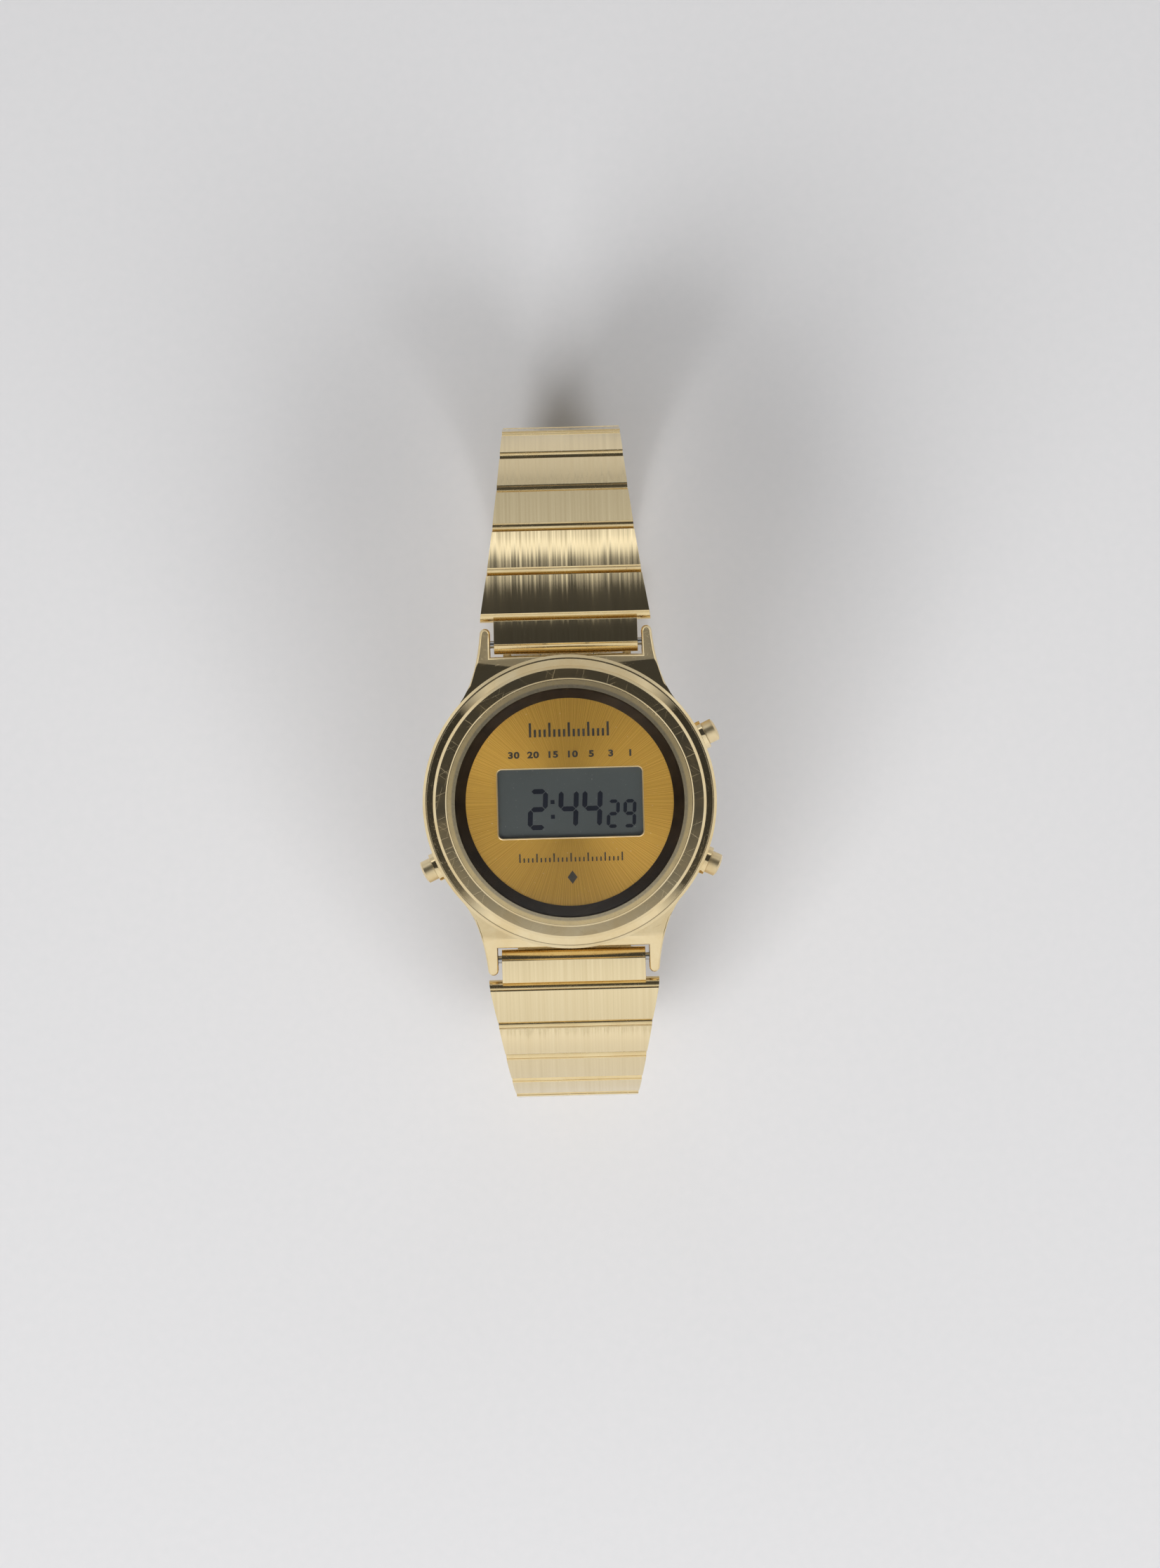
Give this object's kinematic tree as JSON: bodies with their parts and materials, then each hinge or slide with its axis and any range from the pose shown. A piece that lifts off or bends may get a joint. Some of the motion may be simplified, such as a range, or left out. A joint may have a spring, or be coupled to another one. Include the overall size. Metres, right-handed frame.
{
  "type": "digital bracelet watch",
  "caption": "Gold-tone digital wristwatch with a round lugged case, domed bezel ring, rectangular display window, push buttons and a closed link bracelet with a fold-over clasp.",
  "frame": {"origin": "on the flat underside of the clasp's cover, straight below the dial's centre", "axes": "+Z out of the dial, +Y towards 12 o'clock, +X towards 3 o'clock"},
  "size_m": [0.032, 0.0731, 0.0433],
  "materials": {
    "polished_gold": "mirror-polished gold-tone plating",
    "brushed_gold": "lengthwise brushed gold-tone plating with polished edges",
    "brushed_dial": "fine brushed gold-tone dial plate with black print",
    "black_ring": "gloss black",
    "crystal_glass": "clear polished crystal with a bevelled edge",
    "display_glass": "grey liquid crystal panel with dark digits",
    "gasket_nylon": "moulded natural nylon",
    "black_rubber": "matt black rubber",
    "module_plastic": "moulded ivory plastic",
    "circuit_board": "green solder mask",
    "lamp_plastic": "clear white lamp body",
    "cell_steel": "bright steel can",
    "sheet_brass": "plain sheet brass",
    "plain_steel": "satin stainless steel"
  },
  "bodies": {
    "head": {"watch_case": "polished_gold", "bezel": "polished_gold", "crystal": "crystal_glass", "crystal_gasket": "gasket_nylon", "dial": "brushed_dial", "dial_ring": "black_ring", "display_panel": "display_glass", "contact_strips": "black_rubber", "module_frame": "module_plastic", "circuit_board": "circuit_board", "display_lamp": "lamp_plastic", "module_screws": "plain_steel", "contact_springs": "sheet_brass", "battery": "cell_steel", "battery_clip": "plain_steel", "buzzer_disc": "sheet_brass", "back_gasket": "black_rubber", "case_back": "plain_steel", "pusher_tubes": "polished_gold", "upper_spring_bar": "plain_steel", "lower_spring_bar": "plain_steel"},
    "upper_right_pusher": {"upper_right_pusher": "polished_gold", "upper_right_clip": "plain_steel"},
    "lower_right_pusher": {"lower_right_pusher": "polished_gold", "lower_right_clip": "plain_steel"},
    "lower_left_pusher": {"lower_left_pusher": "polished_gold", "lower_left_clip": "plain_steel"},
    "upper_end_piece": {"upper_end_piece": "brushed_gold"},
    "upper_link_01": {"upper_link_01": "brushed_gold"},
    "upper_link_02": {"upper_link_02": "brushed_gold"},
    "upper_link_03": {"upper_link_03": "brushed_gold"},
    "upper_link_04": {"upper_link_04": "brushed_gold"},
    "upper_link_05": {"upper_link_05": "brushed_gold"},
    "upper_link_06": {"upper_link_06": "brushed_gold"},
    "upper_link_07": {"upper_link_07": "brushed_gold"},
    "upper_link_08": {"upper_link_08": "brushed_gold"},
    "upper_link_09": {"upper_link_09": "brushed_gold"},
    "upper_link_10": {"upper_link_10": "brushed_gold"},
    "upper_link_11": {"upper_link_11": "brushed_gold"},
    "clasp_cover": {"clasp_cover": "brushed_gold", "clasp_bar": "plain_steel", "clasp_hinge_pin": "plain_steel"},
    "clasp_blade_1": {"clasp_blade_1": "plain_steel", "clasp_knee_pin": "plain_steel"},
    "clasp_blade_2": {"clasp_blade_2": "plain_steel"},
    "lower_end_piece": {"lower_end_piece": "brushed_gold"},
    "lower_link_01": {"lower_link_01": "brushed_gold"},
    "lower_link_02": {"lower_link_02": "brushed_gold"},
    "lower_link_03": {"lower_link_03": "brushed_gold"},
    "lower_link_04": {"lower_link_04": "brushed_gold"},
    "lower_link_05": {"lower_link_05": "brushed_gold"},
    "lower_link_06": {"lower_link_06": "brushed_gold"},
    "lower_link_07": {"lower_link_07": "brushed_gold"},
    "lower_link_08": {"lower_link_08": "brushed_gold"},
    "lower_link_09": {"lower_link_09": "brushed_gold"},
    "lower_link_10": {"lower_link_10": "brushed_gold"}
  },
  "joints": [
    {"name": "upper_right_push", "type": "slide", "parent": "head", "child": "upper_right_pusher", "axis": [-0.9063, -0.4226, 0], "range_m": [0, 0.0003], "stiffness_N_per_m": 1000, "springref_m": -0.0003},
    {"name": "lower_right_push", "type": "slide", "parent": "head", "child": "lower_right_pusher", "axis": [-0.9063, 0.4226, 0], "range_m": [0, 0.0003], "stiffness_N_per_m": 1000, "springref_m": -0.0003},
    {"name": "lower_left_push", "type": "slide", "parent": "head", "child": "lower_left_pusher", "axis": [0.9063, 0.4226, 0], "range_m": [0, 0.0003], "stiffness_N_per_m": 1000, "springref_m": -0.0003},
    {"name": "upper_lug_hinge", "type": "hinge", "parent": "head", "child": "upper_end_piece", "pos_m": [0, 0.0167, 0.03804], "axis": [1, 0, 0], "range_deg": [0, 30]},
    {"name": "upper_hinge_01", "type": "hinge", "parent": "upper_end_piece", "child": "upper_link_01", "pos_m": [0, 0.01986, 0.03707], "axis": [1, 0, 0], "range_deg": [0, 7]},
    {"name": "upper_hinge_02", "type": "hinge", "parent": "upper_link_01", "child": "upper_link_02", "pos_m": [0, 0.02458, 0.03516], "axis": [1, 0, 0], "range_deg": [0, 8]},
    {"name": "upper_hinge_03", "type": "hinge", "parent": "upper_link_02", "child": "upper_link_03", "pos_m": [0, 0.02909, 0.03277], "axis": [1, 0, 0], "range_deg": [0, 14]},
    {"name": "upper_hinge_04", "type": "hinge", "parent": "upper_link_03", "child": "upper_link_04", "pos_m": [0, 0.03299, 0.02949], "axis": [1, 0, 0], "range_deg": [0, 11]},
    {"name": "upper_hinge_05", "type": "hinge", "parent": "upper_link_04", "child": "upper_link_05", "pos_m": [0, 0.03634, 0.02564], "axis": [1, 0, 0], "range_deg": [0, 19]},
    {"name": "upper_hinge_06", "type": "hinge", "parent": "upper_link_05", "child": "upper_link_06", "pos_m": [0, 0.03841, 0.02098], "axis": [1, 0, 0], "range_deg": [0, 22]},
    {"name": "upper_hinge_07", "type": "hinge", "parent": "upper_link_06", "child": "upper_link_07", "pos_m": [0, 0.03877, 0.01589], "axis": [1, 0, 0], "range_deg": [0, 20]},
    {"name": "upper_hinge_08", "type": "hinge", "parent": "upper_link_07", "child": "upper_link_08", "pos_m": [0, 0.03754, 0.01095], "axis": [1, 0, 0], "range_deg": [0, 22]},
    {"name": "upper_hinge_09", "type": "hinge", "parent": "upper_link_08", "child": "upper_link_09", "pos_m": [0, 0.03468, 0.00672], "axis": [1, 0, 0], "range_deg": [0, 20]},
    {"name": "upper_hinge_10", "type": "hinge", "parent": "upper_link_09", "child": "upper_link_10", "pos_m": [0, 0.03067, 0.00358], "axis": [1, 0, 0], "range_deg": [0, 20]},
    {"name": "upper_hinge_11", "type": "hinge", "parent": "upper_link_10", "child": "upper_link_11", "pos_m": [0, 0.02587, 0.00183], "axis": [1, 0, 0], "range_deg": [0, 16]},
    {"name": "clasp_cover_hinge", "type": "hinge", "parent": "upper_link_11", "child": "clasp_cover", "pos_m": [0, 0.0208, 0.0013], "axis": [1, 0, 0], "range_deg": [0, 35]},
    {"name": "clasp_blade_hinge", "type": "hinge", "parent": "clasp_cover", "child": "clasp_blade_1", "pos_m": [0, -0.01238, 0.0013], "axis": [1, 0, 0], "range_deg": [0, 100]},
    {"name": "clasp_knee", "type": "hinge", "parent": "clasp_blade_1", "child": "clasp_blade_2", "pos_m": [0, 0.0143, 0.0018], "axis": [-1, 0, 0], "range_deg": [0, 115]},
    {"name": "lower_lug_hinge", "type": "hinge", "parent": "head", "child": "lower_end_piece", "pos_m": [0, -0.0167, 0.03804], "axis": [-1, 0, 0], "range_deg": [0, 30]},
    {"name": "lower_hinge_01", "type": "hinge", "parent": "lower_end_piece", "child": "lower_link_01", "pos_m": [0, -0.0198, 0.03691], "axis": [-1, 0, 0], "range_deg": [0, 18]},
    {"name": "lower_hinge_02", "type": "hinge", "parent": "lower_link_01", "child": "lower_link_02", "pos_m": [0, -0.02393, 0.03391], "axis": [-1, 0, 0], "range_deg": [0, 13]},
    {"name": "lower_hinge_03", "type": "hinge", "parent": "lower_link_02", "child": "lower_link_03", "pos_m": [0, -0.02741, 0.03019], "axis": [-1, 0, 0], "range_deg": [0, 13]},
    {"name": "lower_hinge_04", "type": "hinge", "parent": "lower_link_03", "child": "lower_link_04", "pos_m": [0, -0.03011, 0.02586], "axis": [-1, 0, 0], "range_deg": [0, 13]},
    {"name": "lower_hinge_05", "type": "hinge", "parent": "lower_link_04", "child": "lower_link_05", "pos_m": [0, -0.03194, 0.0211], "axis": [-1, 0, 0], "range_deg": [0, 17.03]},
    {"name": "lower_hinge_06", "type": "hinge", "parent": "lower_link_05", "child": "lower_link_06", "pos_m": [0, -0.03248, 0.01603], "axis": [-1, 0, 0], "range_deg": [0, 20]},
    {"name": "lower_hinge_07", "type": "hinge", "parent": "lower_link_06", "child": "lower_link_07", "pos_m": [0, -0.03142, 0.01104], "axis": [-1, 0, 0], "range_deg": [0, 22]},
    {"name": "lower_hinge_08", "type": "hinge", "parent": "lower_link_07", "child": "lower_link_08", "pos_m": [0, -0.02871, 0.00672], "axis": [-1, 0, 0], "range_deg": [0, 22]},
    {"name": "lower_hinge_09", "type": "hinge", "parent": "lower_link_08", "child": "lower_link_09", "pos_m": [0, -0.0247, 0.00358], "axis": [-1, 0, 0], "range_deg": [0, 20]},
    {"name": "lower_hinge_10", "type": "hinge", "parent": "lower_link_09", "child": "lower_link_10", "pos_m": [0, -0.0199, 0.00183], "axis": [-1, 0, 0], "range_deg": [0, 16]}
  ]
}
